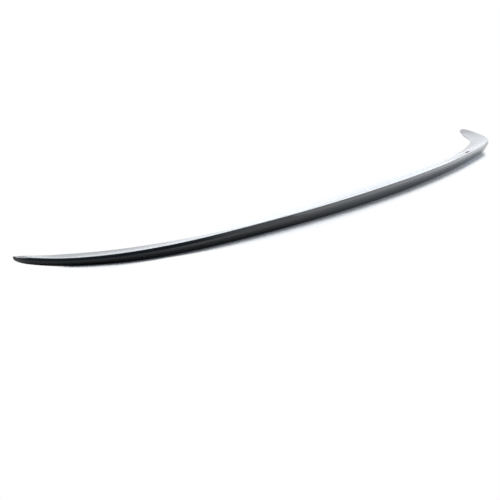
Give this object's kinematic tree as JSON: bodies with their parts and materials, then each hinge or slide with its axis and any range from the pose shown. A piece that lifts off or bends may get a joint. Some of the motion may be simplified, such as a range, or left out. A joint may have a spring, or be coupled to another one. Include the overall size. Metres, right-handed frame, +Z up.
{
  "type": "car rear spoiler",
  "caption": "Slim lip spoiler for the rear edge of a boot lid: thin front edge, raised rear crest, creased rear face, ends swept forward into pointed fins.",
  "frame": {"origin": "on the rear bonding land, midway between the two tips", "axes": "+X along the part, towards the car's right side; +Y forward, towards the lid; +Z up, away from the surface that the part is bonded to"},
  "size_m": [1.2836, 0.1876, 0.0191],
  "materials": {
    "gloss_black": "gloss black paint under clear coat"
  },
  "bodies": {
    "root": {"spoiler": "gloss_black"}
  },
  "joints": []
}
